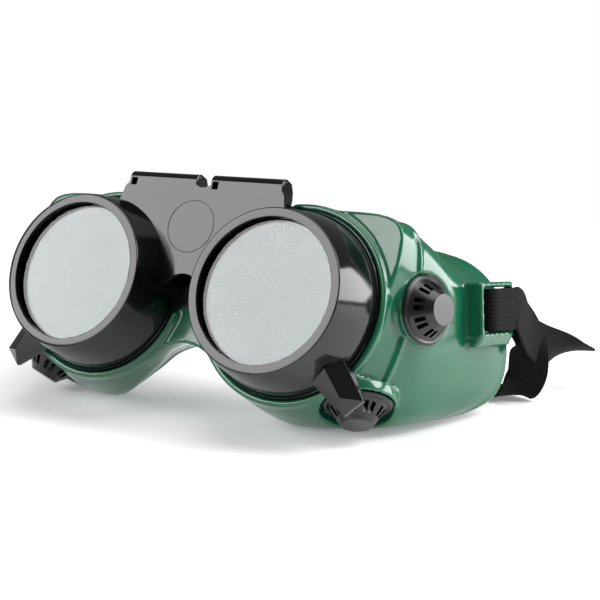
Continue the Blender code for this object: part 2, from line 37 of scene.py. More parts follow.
# Cups, lenses and hinge, as in the CAD
CUP_X = 37.3
LENS_R = 25.0
SEAT_R = 25.3
RIM_R = 26.5
RIM_OPEN_R = 23.5
CUP_BACK_R = 30.7
CUP_DEPTH = 18.2
LIP_BACK_Y = 2.0
FLANGE_Y0 = 18.5
FLANGE_Y1 = 20.1
FLANGE_R = 31.0
TUBE_R = 27.1
TUBE_OPEN_R = 23.3
TUBE_BACK_Y = 28.6
PIN_Y = 15.75
PIN_Z = 34.5
PIN_R = 1.5
KNUCKLE_R = 2.8
COVER_DEPTH = 4.25
COVER_WALL = 1.1
COVER_FLAT_Z = 36.8
COVER_TOP_R = 2.8
COVER_BACK_Y = 17.6
COVER_HALF_X = 30.2
COVER_GAP_HALF_X = 3.0
PLATE_Y0 = PIN_Y - COVER_DEPTH
PLATE_Y1 = PLATE_Y0 + 1.8
WINDOW_X = (-29.5, 3.6)        # left edges of the two small windows in the covers
WINDOW_W = 2.4
WINDOW_Z = (34.1, 36.8)
EDGE_BEVEL = 0.2               # broken edges of the black mouldings

# Stacks in the cups and in the tubes
LAY_GAP = 0.3                  # air between two parts of a stack
COVER_LENS_T = 1.5
SHADE_LENS_T = 3.0
CLEAR_LENS_T = 2.0
CUP_GASKET_T = 1.0
CLEAR_GASKET_T = 0.9
CUP_RING_T = 3.6
CLEAR_RING_T = 3.4
CUP_GASKET_BORE_R = 22.8
CUP_RING_BORE_R = 22.4
CLEAR_GASKET_BORE_R = 23.2
CLEAR_RING_BORE_R = 22.6
RING_NOTCHES = 6
NOTCH_SIZE = (2.6, 1.8, 2.4)

# Mask
WALL = 2.2
FRONT_Y = 20.4
COLLAR_R = 33.3
HOLE_R = 27.4
BEAD_R = 1.35
BEAD_INSET = 0.9
RIDGE_R = 1.0
SHELL_COLUMNS = 10             # points between two outline keys
SHELL_ROWS = 8                 # rows between two outlines
SKIN_VOXEL = 0.5
SKIN_TRIANGLES = 195000
VENT_R = 11.4
VENT_HOLE_R = 7.2
VENT_H = 8.2
VENT_SLOT = (2.2, 1.5, 5.6)
VENT_SLOT_AT = (7.7, 0, 5.2)
VENT_SLOT_PAIRS = 8
VENT_SLOT_TURN = 8.5           # degrees from the middle of a pair to each slot
PIP = (50.0, 27.0, 33.0)       # top of the small bump on the mask's upper edge
PIP_R = 1.6
# Name, middle of the seat, outward direction, how far the boss stands up past the middle,
# and how much wider it is than the cap
VENTS = (
    ("side", (76.3, 35.4, 5.6), (0.953, -0.30, 0.04), 0.3, -0.2),
    ("bottom", (61.2, 31.6, -26.7), (0.28, -0.22, -0.934), 1.2, 1.6),
)

# Strap and its loops
STRAP_W = 14.0
STRAP_T = 1.2
LUG_CENTRE = (89.6, 63.4, 13.5)
LUG_ALONG = (0.15, 0.953, 0.265)
LUG_UP = (-0.12, -0.36, 0.92)
LUG_HALF_L = 10.8
LUG_HALF_H = 9.3
LUG_BAR = 1.9
LUG_T = 2.4
STRAP_RIBS = 11
RIB_POINTS = 6                 # points across one rib
SELVEDGE = 0.07                # share of the half width that thins towards the edge

# Camera: focal length in mm, and its place and directions in the cup frame
CAMERA_MM = 74.57
CAMERA_AT = (231.168, -323.255, -60.336)
CAMERA_RIGHT = (0.87190, 0.45053, 0.19185)
CAMERA_DOWN = (0.09531, 0.22816, -0.96895)

SIDES = ((-1, "L"), (1, "R"))
ROUND = 128                    # facets round a lens

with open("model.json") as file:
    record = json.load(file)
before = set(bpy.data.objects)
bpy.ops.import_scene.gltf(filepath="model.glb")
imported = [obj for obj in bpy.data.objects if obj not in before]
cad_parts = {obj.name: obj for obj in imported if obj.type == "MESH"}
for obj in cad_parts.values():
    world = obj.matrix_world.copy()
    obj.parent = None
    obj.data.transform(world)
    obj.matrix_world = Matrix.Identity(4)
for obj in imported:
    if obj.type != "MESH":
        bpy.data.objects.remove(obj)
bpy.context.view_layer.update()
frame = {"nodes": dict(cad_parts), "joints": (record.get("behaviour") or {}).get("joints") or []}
hinge = next(joint for joint in frame["joints"] if joint["name"] == "flip_hinge")
PIN = Vector(hinge["pos_m"])
TILT = Matrix.Rotation(-REST_TILT, 4, "X")
CUP_TO_ROW = (Matrix.Translation(PIN) @ TILT @ Matrix.Diagonal((MM, MM, MM, 1))
              @ Matrix.Translation((0, -PIN_Y, -PIN_Z)))


# ---------------------------------------------------------------- material helpers

def new_material(name, **values):
    """A Principled material with the given sockets set."""
    made = bpy.data.materials.new(name)
    made.use_nodes = True
    shader = made.node_tree.nodes["Principled BSDF"]
    for key, value in values.items():
        socket = key.replace("_", " ").title().replace("Ior", "IOR")
        shader.inputs[socket].default_value = value
    return made


def add(made, kind, **values):
    """A new node in a material, with the given settings."""
    node = made.node_tree.nodes.new(kind)
    for key, value in values.items():
        setattr(node, key, value)
    return node


def link(made, source, target):
    made.node_tree.links.new(source, target)


def coordinates(made, stretch=(1, 1, 1), uv=False):
    """Object coordinates in metres (or the UV map), stretched by the given factors."""
    source = add(made, "ShaderNodeTexCoord")
    mapping = add(made, "ShaderNodeMapping")
    mapping.inputs["Scale"].default_value = stretch
    link(made, source.outputs["UV" if uv else "Object"], mapping.inputs["Vector"])
    return mapping.outputs["Vector"]


def noise(made, where, scale, detail=4.0, roughness=0.5):
    """Cloudy noise from 0 to 1."""
    node = add(made, "ShaderNodeTexNoise")
    node.inputs["Scale"].default_value = scale
    node.inputs["Detail"].default_value = detail
    node.inputs["Roughness"].default_value = roughness
    link(made, where, node.inputs["Vector"])
    return node.outputs["Fac"]


def spread(made, source, low, high, to_low, to_high):
    """Maps a value from one range to another, clamped."""
    node = add(made, "ShaderNodeMapRange")
    for key, value in zip(("From Min", "From Max", "To Min", "To Max"),
                          (low, high, to_low, to_high)):
        node.inputs[key].default_value = value
    link(made, source, node.inputs["Value"])
    return node.outputs["Result"]


def blend_colours(made, factor, first, second):
    """Mixes two colours, each a plain colour or a socket."""
    node = add(made, "ShaderNodeMix", data_type="RGBA")
    link(made, factor, node.inputs["Factor"])
    for key, colour in (("A", first), ("B", second)):
        socket = next(s for s in node.inputs if s.name == key and s.type == "RGBA")
        if isinstance(colour, tuple):
            socket.default_value = (*colour, 1.0)
        else:
            link(made, colour, socket)
    return next(s for s in node.outputs if s.type == "RGBA")


def bumps(made, *layers):
    """Stacks bump nodes; each layer is (height socket, strength, distance in metres)."""
    below = None
    for height, strength, distance in layers:
        node = add(made, "ShaderNodeBump")
        node.inputs["Strength"].default_value = strength
        node.inputs["Distance"].default_value = distance
        link(made, height, node.inputs["Height"])
        if below:
            link(made, below, node.inputs["Normal"])
        below = node.outputs["Normal"]
    link(made, below, made.node_tree.nodes["Principled BSDF"].inputs["Normal"])


def to_shader(made, source, name):
    """Feeds a socket of the Principled shader."""
    link(made, source, made.node_tree.nodes["Principled BSDF"].inputs[name])


# ---------------------------------------------------------------- materials

def green_pvc(name, dark, light, pale):
    """Glossy soft PVC: cloudy pigment, convex edges painted paler as painted light through thin
    PVC, orange-peel ripple, handling marks.
    """
    made = new_material(name, roughness=0.2, ior=1.5, subsurface_weight=0.12,
                        subsurface_scale=0.003, coat_weight=0.35, coat_roughness=0.06)
    shader = made.node_tree.nodes["Principled BSDF"]
    shader.inputs["Subsurface Radius"].default_value = (0.25, 1.0, 0.5)
    where = coordinates(made)
    cloud = spread(made, noise(made, where, 22, 3), 0.35, 0.65, 0, 1)
    body = blend_colours(made, cloud, dark, light)
    # Painted light: convex edges, found by pointiness, are mixed towards the pale colour as if
    # light shone through thin PVC.
    geometry = add(made, "ShaderNodeNewGeometry")
    edge = spread(made, geometry.outputs["Pointiness"], 0.52, 0.6, 0, 0.55)
    to_shader(made, blend_colours(made, edge, body, pale), "Base Color")
    marks = noise(made, coordinates(made, (1, 1, 3)), 90, 6, 0.65)
    to_shader(made, spread(made, marks, 0.35, 0.75, 0.12, 0.3), "Roughness")
    bumps(made, (noise(made, where, 120, 2), 0.06, 0.0005),
          (noise(made, where, 1400, 2), 0.04, 0.0001))
    return made


def black_plastic(name, colour, rough_low, rough_high, grain=0.05):
    """Moulded gloss plastic with a faint grain, flow ripple, hairline scratches and dust."""
    made = new_material(name, ior=1.52)
    where = coordinates(made)
    dust = spread(made, noise(made, where, 260, 8, 0.7), 0.6, 0.85, 0, 0.5)
    lighter = tuple(2.0 * c + 0.002 for c in colour)
    to_shader(made, blend_colours(made, dust, colour, lighter), "Base Color")
    smear = noise(made, where, 55, 5, 0.6)
    to_shader(made, spread(made, smear, 0.3, 0.75, rough_low, rough_high), "Roughness")
    scratches = noise(made, coordinates(made, (40, 3, 40)), 14, 3, 0.5)
    bumps(made, (noise(made, where, 90, 2), 0.025, 0.0005),
          (noise(made, where, 2200, 2), grain, 0.0001),
          (scratches, 0.015, 0.0001))
    return made


def shade_glass():
    """Silvered dark filter glass with a soft bloom and smudged roughness."""
    made = new_material("shade_glass", metallic=1.0, roughness=0.06)
    where = coordinates(made)
    bloom = spread(made, noise(made, where, 30, 3), 0.3, 0.7, 0, 1)
    to_shader(made, blend_colours(made, bloom, (0.026, 0.030, 0.031), (0.034, 0.039, 0.040)),
              "Base Color")
    smear = noise(made, where, 70, 6, 0.7)
    to_shader(made, spread(made, smear, 0.35, 0.8, 0.05, 0.16), "Roughness")
    return made


def clear_glass():
    """Clear cover and impact lenses: colourless, with faint wipe marks."""
    made = new_material("clear_glass", transmission_weight=1.0, ior=1.45)
    where = coordinates(made, (1, 1, 4))
    wipe = noise(made, where, 80, 6, 0.65)
    to_shader(made, spread(made, wipe, 0.45, 0.85, 0.0, 0.06), "Roughness")
    tint = blend_colours(made, spread(made, wipe, 0.4, 0.8, 0, 1), (0.97, 0.99, 0.985),
                         (0.93, 0.955, 0.95))
    to_shader(made, tint, "Base Color")
    return made


def gasket_rubber():
    """Dull black rubber with a fine grain."""
    made = new_material("gasket_rubber", specular_ior_level=0.35)
    where = coordinates(made)
    grain = noise(made, where, 600, 5, 0.6)
    to_shader(made, blend_colours(made, grain, (0.012, 0.012, 0.012), (0.035, 0.035, 0.036)),
              "Base Color")
    to_shader(made, spread(made, grain, 0.3, 0.7, 0.55, 0.85), "Roughness")
    bumps(made, (grain, 0.3, 0.0002))
    return made


def pin_steel():
    """Drawn wire: fine lines along the pin, with a dull tarnish."""
    made = new_material("pin_steel", metallic=1.0)
    lines = noise(made, coordinates(made, (4, 900, 900)), 3, 3)
    stain = noise(made, coordinates(made), 180, 5, 0.6)
    to_shader(made, blend_colours(made, stain, (0.52, 0.52, 0.54), (0.36, 0.35, 0.34)),
              "Base Color")
    to_shader(made, spread(made, lines, 0.3, 0.7, 0.22, 0.42), "Roughness")
    bumps(made, (lines, 0.15, 0.0001))
    return made


def black_webbing():
    """Ribbed elastic: ribs along the band with painted shade darkening the grooves between them,
    a weft across, fluffy fibres. UV is in metres.
    """
    made = new_material("black_webbing", sheen_weight=0.02, sheen_roughness=0.5,
                        specular_ior_level=0.1)
    where = coordinates(made, uv=True)
    weft = add(made, "ShaderNodeTexWave", wave_type="BANDS", bands_direction="Y")
    weft.inputs["Scale"].default_value = 620
    weft.inputs["Distortion"].default_value = 2.0
    weft.inputs["Detail Scale"].default_value = 300
    link(made, where, weft.inputs["Vector"])
    warp = add(made, "ShaderNodeTexWave", wave_type="BANDS", bands_direction="X")
    warp.inputs["Scale"].default_value = 247
    warp.inputs["Distortion"].default_value = 0.6
    link(made, where, warp.inputs["Vector"])
    fluff = noise(made, where, 3000, 4, 0.7)
    # Painted shade: the warp bands colour the grooves between the ribs darker than the rib tops.
    painted_groove_shade = blend_colours(made, warp.outputs["Fac"], (0.0018, 0.0018, 0.0021),
                          (0.0060, 0.0060, 0.0066))
    to_shader(made, blend_colours(made, spread(made, fluff, 0.5, 0.85, 0, 0.3), painted_groove_shade,
                                  (0.02, 0.02, 0.022)), "Base Color")
    to_shader(made, spread(made, fluff, 0.3, 0.7, 0.6, 0.9), "Roughness")
    bumps(made, (weft.outputs["Fac"], 0.3, 0.0001), (warp.outputs["Fac"], 0.5, 0.0003),
          (fluff, 0.3, 0.0001))
    return made


# The third colour is the painted light on convex edges of the PVC.
GREEN = green_pvc("green_pvc", (0.004, 0.085, 0.04), (0.006, 0.115, 0.056),
                  (0.03, 0.26, 0.15))
BLACK = black_plastic("black_plastic", (0.003, 0.0032, 0.0036), 0.06, 0.17)
CAP_BLACK = black_plastic("cap_plastic", (0.005, 0.0052, 0.0055), 0.2, 0.34, 0.08)
SHADE = shade_glass()
CLEAR = clear_glass()
RUBBER = gasket_rubber()
STEEL = pin_steel()
WEBBING = black_webbing()


# ---------------------------------------------------------------- shape helpers

def smooth_path(keys, per_span, closed):
    """Points on a Catmull-Rom curve through the keys."""
    keys = np.array(keys, float)
    count = len(keys)
    spans = count if closed else count - 1
    found = []
    for i in range(spans):
        if closed:
            a, b, c, d = (keys[(i + k) % count] for k in (-1, 0, 1, 2))
        else:
            a, b, c, d = (keys[min(max(i + k, 0), count - 1)] for k in (-1, 0, 1, 2))
        for t in np.arange(per_span) / per_span:
            found.append(0.5 * (2 * b + (c - a) * t + (2 * a - 5 * b + 4 * c - d) * t**2
                                + (3 * b - a - 3 * c + d) * t**3))
    if not closed:
        found.append(keys[-1])
    return np.array(found)


def loft(rings, closed=False):
    """A bmesh through rings of points; the first and last rings are capped unless closed."""
    bm = bmesh.new()
    rows = [[bm.verts.new(p) for p in ring] for ring in rings]
    count = len(rows[0])
    spans = len(rows) if closed else len(rows) - 1
    for i in range(spans):
        low, high = rows[i], rows[(i + 1) % len(rows)]
        for j in range(count):
            k = (j + 1) % count
            bm.faces.new((low[j], low[k], high[k], high[j]))
    if not closed:
        bm.faces.new(rows[0])
        bm.faces.new(rows[-1])
    bmesh.ops.recalc_face_normals(bm, faces=bm.faces)
    return bm


def lathe(profile, x=0.0, steps=ROUND):
    """A ring or disc turned about the Y axis through x; the profile is (radius, y)."""
    bm = bmesh.new()
    hollow = all(r > 0 for r, _ in profile)
    rows = []
    for r, y in profile:
        if r == 0:
            rows.append([bm.verts.new((x, y, 0))])
            continue
        angles = [2 * math.pi * k / steps for k in range(steps)]
        rows.append([bm.verts.new((x + r * math.cos(a), y, r * math.sin(a))) for a in angles])
    pairs = len(profile) if hollow else len(profile) - 1
    for i in range(pairs):
        low, high = rows[i], rows[(i + 1) % len(rows)]
        for j in range(steps):
            k = (j + 1) % steps
            corners = [low[j % len(low)], low[k % len(low)],
                       high[k % len(high)], high[j % len(high)]]
            corners = list(dict.fromkeys(corners))
            if len(corners) > 2:
                bm.faces.new(corners)
    bmesh.ops.recalc_face_normals(bm, faces=bm.faces)
    return bm


def eased(profile, size=0.25, points=4):
    """Rounds the corners of a closed (radius, y) profile that never reaches the axis."""
    found = []
    count = len(profile)
    for i in range(count):
        corner = np.array(profile[i], float)
        ends = []
        for other in (profile[i - 1], profile[(i + 1) % count]):
            step = np.array(other, float) - corner
            length = np.linalg.norm(step)
            ends.append(corner + step / length * min(size, length * 0.4))
        for t in np.linspace(0, 1, points):
            found.append(tuple((1 - t)**2 * ends[0] + 2 * t * (1 - t) * corner
                               + t**2 * ends[1]))
    return found


def prism(outline, axis, low, high):
    """An outline of two coordinates drawn out along an axis; x, y or z is left out of it."""
    def place(pair, value):
        rest = iter(pair)
        return [value if letter == axis else next(rest) for letter in "xyz"]
    return loft([[place(pair, value) for pair in outline] for value in (low, high)])


def hull(points):
    """The convex solid round some points, with its coplanar triangles joined."""
    bm = bmesh.new()
    for point in points:
        bm.verts.new(point)
    result = bmesh.ops.convex_hull(bm, input=bm.verts)
    inner = [v for v in result["geom_interior"] if isinstance(v, bmesh.types.BMVert)]
    bmesh.ops.delete(bm, geom=inner, context="VERTS")
    bmesh.ops.recalc_face_normals(bm, faces=bm.faces)
    bmesh.ops.dissolve_limit(bm, angle_limit=math.radians(3), verts=bm.verts, edges=bm.edges)
    return bm


def rounded(bm, width):
    """Rounds every corner of a shape before it is melted into the mask."""
    edges = [e for e in bm.edges if e.calc_face_angle(0) > math.radians(25)]
    bmesh.ops.bevel(bm, geom=edges, offset=width, segments=3, profile=0.5, affect="EDGES")


def block(size, matrix):
    """A box of the given size about the origin, then moved."""
    bm = bmesh.new()
    bmesh.ops.create_cube(bm, size=1.0)
    bmesh.ops.scale(bm, vec=size, verts=bm.verts)
    bmesh.ops.transform(bm, verts=bm.verts, matrix=matrix)
    return bm


def rod(start, end, radius, steps=96):
    """A straight round bar between two points."""
    start, end = Vector(start), Vector(end)
    bm = bmesh.new()
    bmesh.ops.create_cone(bm, cap_ends=True, segments=steps, radius1=radius, radius2=radius,
                          depth=(end - start).length)
    turn = (end - start).to_track_quat("Z", "Y").to_matrix().to_4x4()
    bmesh.ops.transform(bm, verts=bm.verts, matrix=Matrix.Translation((start + end) / 2) @ turn)
    return bm


def unit(vectors):
    """An array of vectors, each brought to length one."""
    return vectors / np.linalg.norm(vectors, axis=-1, keepdims=True)


def circle(centre, first, second, radius, steps=12):
    """Points round a circle in the plane of two unit vectors."""
    return [centre + radius * (first * math.cos(a) + second * math.sin(a))
            for a in np.arange(steps) * 2 * math.pi / steps]


def tube(path, radius):
    """A round bar along a path, with flat ends."""
    tangents = unit(np.gradient(path, axis=0))
    not_along = (0.3, 0.2, 0.93)
    rings = []
    side = np.cross(tangents[0], not_along)
    for point, tangent in zip(path, tangents):
        side = unit(side - tangent * side.dot(tangent))
        rings.append(circle(point, side, np.cross(tangent, side), radius))
    return loft(rings)


def turned_to(bm, centre, outward):
    """Moves a shape built about the +Z axis so that it stands on centre along outward."""
    turn = Vector(outward).to_track_quat("Z", "Y").to_matrix().to_4x4()
    bmesh.ops.transform(bm, verts=bm.verts, matrix=Matrix.Translation(centre) @ turn)
    return bm


def mirrored(bm):
    """A copy of a shape on the other side of the nose."""
    copy = bm.copy()
    bmesh.ops.scale(copy, vec=(-1, 1, 1), verts=copy.verts)
    bmesh.ops.reverse_faces(copy, faces=copy.faces)
    return copy


def merged(*shapes):
    """One bmesh holding several."""
    whole = bmesh.new()
    for bm in shapes:
        mesh = bpy.data.meshes.new("part")
        bm.to_mesh(mesh)
        bm.free()
        whole.from_mesh(mesh)
        bpy.data.meshes.remove(mesh)
    return whole


def bare_object(name, bm):
    """An object that holds a shape and has no material yet."""
    mesh = bpy.data.meshes.new(name)
    bm.to_mesh(mesh)
    bm.free()
    made = bpy.data.objects.new(name, mesh)
    bpy.context.scene.collection.objects.link(made)
    return made


def apply_modifiers(made):
    """Bakes an object's modifiers into its mesh."""
    bpy.context.view_layer.update()
    graph = bpy.context.evaluated_depsgraph_get()
    mesh = bpy.data.meshes.new_from_object(made.evaluated_get(graph))
    made.modifiers.clear()
    old = made.data
    made.data = mesh
    bpy.data.meshes.remove(old)
    mesh.name = made.name


def combine(target, bm, operation):
    """Adds a shape to an object, or cuts it out."""
    bmesh.ops.triangulate(bm, faces=[f for f in bm.faces if len(f.verts) > 4])
    tool = bare_object("tool", bm)
    modifier = target.modifiers.new("combine", "BOOLEAN")
    modifier.operation = operation
    modifier.solver = "MANIFOLD"
    modifier.object = tool
    apply_modifiers(target)
    bpy.data.objects.remove(tool)


def softened(made, width):
    """Rounds the edges of a moulding."""
    bevel = made.modifiers.new("bevel", "BEVEL")
    bevel.width = width
    bevel.segments = 2
    bevel.limit_method = "ANGLE"
    bevel.angle_limit = math.radians(30)
    apply_modifiers(made)


def finish(made, look, body, *nodes, sharp=30, matrix=CUP_TO_ROW):
    """Puts a millimetre mesh in its place, gives it its material and body, and hides the given
    CAD nodes.
    """
    made.data.transform(matrix)
    made.data.materials.clear()
    made.data.materials.append(look)
    made.data.shade_smooth()
    if sharp:
        made.data.set_sharp_from_angle(angle=math.radians(sharp))
    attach(made, body)
    if nodes:
        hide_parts(*nodes)


def piece(name, bm, look, body, *nodes, joins=(), cuts=(), bevel=0.0, sharp=30):
    """A finished piece from a bmesh in the cup frame."""
    if joins or cuts:
        bmesh.ops.triangulate(bm, faces=[f for f in bm.faces if len(f.verts) > 4])
    made = bare_object(name, bm)
    for shape in joins:
        combine(made, shape, "UNION")
    for shape in cuts:
        combine(made, shape, "DIFFERENCE")
    if bevel:
        softened(made, bevel)
    finish(made, look, body, *nodes, sharp=sharp)
    if bevel:
        even = made.modifiers.new("even", "WEIGHTED_NORMAL")
        even.keep_sharp = True
        apply_modifiers(made)


# ---------------------------------------------------------------- the mask

def shell_keys():
    """Half outlines from the top middle round to the nose, front edge to face edge."""
    front = [(0, 32.2), (34, 32.2), (61, 32.2), (70.3, 28.2), (71.6, 17.5), (69.4, 4),
             (66.6, -9.6), (61.2, -22.5), (51, -30.4), (37.3, -33.3), (24, -30.5),
             (13.5, -24), (8, -19), (0, -17)]
    front = [(x, FRONT_Y, z) for x, z in front]
    second = [(0, 26, 32.2), (33.5, 26.5, 32.2), (60.5, 27.5, 31.6), (71.5, 28, 28.6),
              (74.9, 30, 17.8), (74.1, 31, 4.5), (72.2, 31, -10), (68, 30.5, -23.2),
              (58, 29.5, -31.2), (42, 29, -35.4), (27.5, 28, -33.6), (16.0, 27, -25),
              (9.0, 26, -19), (0, 25.5, -16.5)]
    middle = [(0, 33, 32), (33, 34, 31.8), (60, 36, 30.2), (73, 39, 27.2),
              (79.5, 43, 17.6), (80, 45, 5), (79.6, 45, -10), (77, 45, -24.4),
              (66.5, 43, -32.3), (46, 40, -36.3), (31.5, 37, -35.6), (18.5, 34, -25.5),
              (11, 31.5, -18.5), (0, 30.5, -15.5)]
    rear = [(0, 41, 32), (30, 43, 31.6), (57, 50.5, 29.0), (73.6, 56, 25.0),
            (83.6, 61, 17.9), (86.6, 66, 6), (87, 68, -7), (85.2, 66, -17.2),
            (76.5, 58, -26.6), (59, 49, -32.2), (40, 43, -35), (24.5, 40, -26),
            (13.5, 37.5, -17.5), (0, 36.5, -14)]
    lip = [(0, 47, 33.4), (29, 49.5, 33.2), (56, 58, 31.6), (75, 68, 29.6),
           (86, 74, 20), (89.2, 79.5, 6), (89.6, 81, -7), (86.8, 76.5, -16.2),
           (77.5, 66, -24.4), (60, 54.5, -30), (39.5, 48, -32.9), (25.5, 44.5, -25),
           (14.5, 42, -17), (0, 41, -13)]
    return front, second, middle, rear, lip


def whole_outline(half, per_span):
    """A half outline mirrored into a closed smooth loop."""
    far = [(-x, y, z) for x, y, z in reversed(half[1:-1])]
    return smooth_path(half + far, per_span, closed=True)


def surface_normals(rows):
    """Outward unit normals of a grid of rows round the shell."""
    grid = np.array(rows)
    along = np.roll(grid, -1, axis=1) - np.roll(grid, 1, axis=1)
    back = np.gradient(grid, axis=0)
    normal = unit(np.cross(along, back))
    if (normal[:, :, 0] * grid[:, :, 0]).sum() < 0:
        normal = -normal
    return normal


def shell_rows(per_span, rows_per_span):
    """Outer rows of the shell from the front edge to the face edge."""
    stations = np.array([whole_outline(half, per_span) for half in shell_keys()])
    rows = []
    for j in range(stations.shape[1]):
        rows.append(smooth_path(stations[:, j], rows_per_span, closed=False))
    return np.array(rows).transpose(1, 0, 2)


def shell_solid(outer, normal):
    """The shell between its outer rows and the same rows moved in by the wall."""
    inner = outer - WALL * normal
    inner[0] = outer[0] - WALL * normal[1]
    inner[0, :, 1] = FRONT_Y + WALL
    inner[1:, :, 1] = np.maximum(inner[1:, :, 1], FRONT_Y + WALL + 0.2)
    return loft([list(row) for row in outer] + [list(row) for row in inner[::-1]])


def moulded_ridge(outer, side):
    """The raised line where the front panel turns into the side wall."""
    row = outer[SHELL_ROWS]
    count = len(row)
    first, last = int(2.2 * SHELL_COLUMNS), int(8.2 * SHELL_COLUMNS)
    picks = [k if side > 0 else (count - k) % count for k in range(first, last)]
    return tube(row[picks], RIDGE_R)


def rear_bead(outer, normal):
    """The rolled edge that lies on the face."""
    path = outer[-1] - BEAD_INSET * normal[-1]
    path = np.vstack([path, path[:1], path[1:2]])
    tangents = unit(np.gradient(path, axis=0))
    rings = []
    for point, tangent in zip(path[:-2], tangents[:-2]):
        side = unit(np.cross(tangent, (0.0, 1.0, 0.0)))
        rings.append(circle(point, side, np.cross(tangent, side), BEAD_R))
    return loft(rings, closed=True)


def lug_axes():
    """Centre and directions of the right strap loop: along the strap, up, and outward."""
    centre = Vector(LUG_CENTRE)
    along = Vector(LUG_ALONG).normalized()
    up = Vector(LUG_UP)
    up = (up - along * up.dot(along)).normalized()
    return centre, along, up, along.cross(up)


def lug_point(a, u, o):
    """A point given along the strap, up, and outward from the middle of the loop."""
    centre, along, up, out = lug_axes()
    return centre + along * a + up * u + out * o


def lug_shapes():
    """The strap loop, its front post and the bracket under it."""
    def corners(inset, o):
        return [lug_point(a * (LUG_HALF_L - inset), u * (LUG_HALF_H - inset), o)
                for a, u in ((-1, -1), (1, -1), (1, 1), (-1, 1))]
    front = LUG_T / 2
    loop = loft([corners(0, -front), corners(0, front), corners(LUG_BAR, front),
                 corners(LUG_BAR, -front)], closed=True)
    post_a = (0.15 - LUG_HALF_L, LUG_BAR - LUG_HALF_L - 0.15)
    post_u = (0.2 - LUG_HALF_H, LUG_HALF_H - 0.2)
    post = hull([lug_point(a, u, o) for a in post_a for u in post_u
                 for o in (-6.0, front - 0.3)])
    end = LUG_HALF_L - 0.3
    top = LUG_HALF_H - 0.3
    face = front - 0.2
    foot = hull([lug_point(a, -u, o) for a, u, o in (
        (-end, top, face), (end, top, face), (-end, top + 3.4, -1.5), (end, top + 3.6, -0.5),
        (-end, top, -5.5), (end - 3.0, top, -5.5), (-end, top + 3.0, -5.5),
        (end - 4.0, top + 3.0, -5.5))])
    for shape, width in ((loop, 0.5), (post, 0.4), (foot, 0.7)):
        rounded(shape, width)
    return loop, post, foot


def vent_axis(side, centre, outward):
    """Middle and outward direction of a vent on one side."""
    centre = Vector((side * centre[0], centre[1], centre[2]))
    outward = Vector((side * outward[0], outward[1], outward[2])).normalized()
    return centre, outward


def mask_shapes(outer, normal):
    """What is joined to the shell, and what is cut out of it."""
    joins = [rear_bead(outer, normal)]
    right_edge = [(10.2, -7.2), (12.6, 7.6), (27.6, 21.5), (31.3, 21.5), (31.3, 40)]
    left_edge = [(-x, z) for x, z in reversed(right_edge)]
    cuts = [prism(right_edge + left_edge, "y", 15, FRONT_Y - 0.1)]
    band = [(FLANGE_R + 0.3, 18.7), (COLLAR_R, 18.7), (COLLAR_R + 0.4, 21.5),
            (FLANGE_R + 0.3, 21.5)]
    for side, _ in SIDES:
        joins.append(lathe(band, side * CUP_X))
        joins.append(moulded_ridge(outer, side))
        x = side * CUP_X
        cuts.append(rod((x, 10, 0), (x, 30, 0), HOLE_R))
        cuts.append(rod((x, 10, 0), (x, FLANGE_Y1 + 0.2, 0), FLANGE_R + 0.15))
        for _, centre, outward, boss_h, boss_wall in VENTS:
            centre, outward = vent_axis(side, centre, outward)
            joins.append(rod(centre - outward * 2.8, centre + outward * boss_h,
                             VENT_R + boss_wall))
            cuts.append(rod(centre + outward * 0.3, centre + outward * 12, VENT_R + 0.5))
            cuts.append(rod(centre - outward * 9, centre + outward * 6, VENT_HOLE_R))
        x, y, z = PIP
        joins.append(rod((side * x, y, z - 3.0), (side * x, y, z), PIP_R, 24))
        for shape in lug_shapes():
            joins.append(shape if side > 0 else mirrored(shape))
    return joins, cuts


def mask():
    """The soft moulding: shell, collars, vent seats and loops, melted into one skin."""
    outer = shell_rows(SHELL_COLUMNS, SHELL_ROWS)
    normal = surface_normals(outer)
    bm = shell_solid(outer, normal)
    bmesh.ops.triangulate(bm, faces=[f for f in bm.faces if len(f.verts) > 4])
    made = bare_object("goggle_mask", bm)
    joins, cuts = mask_shapes(outer, normal)
    for shape in joins:
        combine(made, shape, "UNION")
    for shape in cuts:
        combine(made, shape, "DIFFERENCE")
    skin = made.modifiers.new("skin", "REMESH")
    skin.mode = "VOXEL"
    skin.voxel_size = SKIN_VOXEL
    ease = made.modifiers.new("ease", "CORRECTIVE_SMOOTH")
    ease.smooth_type = "SIMPLE"
    ease.use_only_smooth = True
    ease.iterations = 5
    ease.factor = 0.5
    apply_modifiers(made)
    thin = made.modifiers.new("thin", "DECIMATE")
    thin.ratio = min(1.0, SKIN_TRIANGLES / (2 * len(made.data.polygons)))
    apply_modifiers(made)
    finish(made, GREEN, "mask", "goggle_body", sharp=0)
    for vertex in made.data.vertices:
        vertex.co.z = max(vertex.co.z, 0.0)


